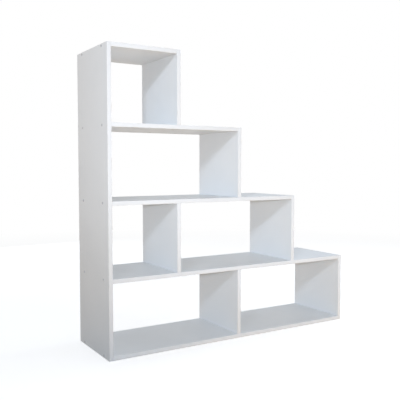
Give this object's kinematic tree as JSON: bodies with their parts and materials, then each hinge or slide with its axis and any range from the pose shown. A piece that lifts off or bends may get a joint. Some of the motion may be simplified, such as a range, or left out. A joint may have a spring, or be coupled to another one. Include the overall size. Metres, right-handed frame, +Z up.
{
  "type": "staircase bookshelf",
  "caption": "Open white bookshelf that steps down like a staircase from a tall left side, with square cells open at front and back.",
  "frame": {"origin": "on the floor, at the middle of the overall width and depth", "axes": "+Z up, the open front with its banded edges faces -Y, the tall side panel is at -X and the steps go down towards +X"},
  "size_m": [1.1, 0.29, 1.1],
  "materials": {
    "white_melamine_board": "satin white melamine foil on chipboard",
    "white_edge_band": "smooth white plastic edge band, satin",
    "zinc_plated_screw": "bright zinc plate",
    "beech_dowel": "raw fluted beech"
  },
  "bodies": {
    "root": {"base_board": "white_melamine_board", "base_board_front_edge": "white_edge_band", "dowel_shelf_1_to_tier_1_divider_front": "beech_dowel", "dowel_shelf_1_to_tier_1_divider_rear": "beech_dowel", "dowel_shelf_2_to_tier_2_divider_front": "beech_dowel", "dowel_shelf_2_to_tier_2_divider_rear": "beech_dowel", "left_side_panel": "white_melamine_board", "left_side_panel_front_edge": "white_edge_band", "screw_base_board_to_tier_1_divider_front": "zinc_plated_screw", "screw_base_board_to_tier_1_divider_rear": "zinc_plated_screw", "screw_left_side_panel_to_base_board_front": "zinc_plated_screw", "screw_left_side_panel_to_base_board_rear": "zinc_plated_screw", "screw_left_side_panel_to_shelf_1_front": "zinc_plated_screw", "screw_left_side_panel_to_shelf_1_rear": "zinc_plated_screw", "screw_left_side_panel_to_shelf_2_front": "zinc_plated_screw", "screw_left_side_panel_to_shelf_2_rear": "zinc_plated_screw", "screw_left_side_panel_to_shelf_3_front": "zinc_plated_screw", "screw_left_side_panel_to_shelf_3_rear": "zinc_plated_screw", "screw_left_side_panel_to_top_board_front": "zinc_plated_screw", "screw_left_side_panel_to_top_board_rear": "zinc_plated_screw", "screw_shelf_1_to_tier_2_divider_front": "zinc_plated_screw", "screw_shelf_1_to_tier_2_divider_rear": "zinc_plated_screw", "screw_shelf_1_to_tier_2_end_panel_front": "zinc_plated_screw", "screw_shelf_1_to_tier_2_end_panel_rear": "zinc_plated_screw", "screw_shelf_2_to_tier_3_end_panel_front": "zinc_plated_screw", "screw_shelf_2_to_tier_3_end_panel_rear": "zinc_plated_screw", "screw_shelf_3_to_tier_4_end_panel_front": "zinc_plated_screw", "screw_shelf_3_to_tier_4_end_panel_rear": "zinc_plated_screw", "screw_tier_1_end_panel_to_base_board_front": "zinc_plated_screw", "screw_tier_1_end_panel_to_base_board_rear": "zinc_plated_screw", "screw_tier_1_end_panel_to_shelf_1_front": "zinc_plated_screw", "screw_tier_1_end_panel_to_shelf_1_rear": "zinc_plated_screw", "screw_tier_2_end_panel_to_shelf_2_front": "zinc_plated_screw", "screw_tier_2_end_panel_to_shelf_2_rear": "zinc_plated_screw", "screw_tier_3_end_panel_to_shelf_3_front": "zinc_plated_screw", "screw_tier_3_end_panel_to_shelf_3_rear": "zinc_plated_screw", "screw_tier_4_end_panel_to_top_board_front": "zinc_plated_screw", "screw_tier_4_end_panel_to_top_board_rear": "zinc_plated_screw", "shelf_1": "white_melamine_board", "shelf_1_front_edge": "white_edge_band", "shelf_2": "white_melamine_board", "shelf_2_front_edge": "white_edge_band", "shelf_3": "white_melamine_board", "shelf_3_front_edge": "white_edge_band", "tier_1_divider": "white_melamine_board", "tier_1_divider_front_edge": "white_edge_band", "tier_1_end_panel": "white_melamine_board", "tier_1_end_panel_front_edge": "white_edge_band", "tier_2_divider": "white_melamine_board", "tier_2_divider_front_edge": "white_edge_band", "tier_2_end_panel": "white_melamine_board", "tier_2_end_panel_front_edge": "white_edge_band", "tier_3_end_panel": "white_melamine_board", "tier_3_end_panel_front_edge": "white_edge_band", "tier_4_end_panel": "white_melamine_board", "tier_4_end_panel_front_edge": "white_edge_band", "top_board": "white_melamine_board", "top_board_front_edge": "white_edge_band"}
  },
  "joints": []
}
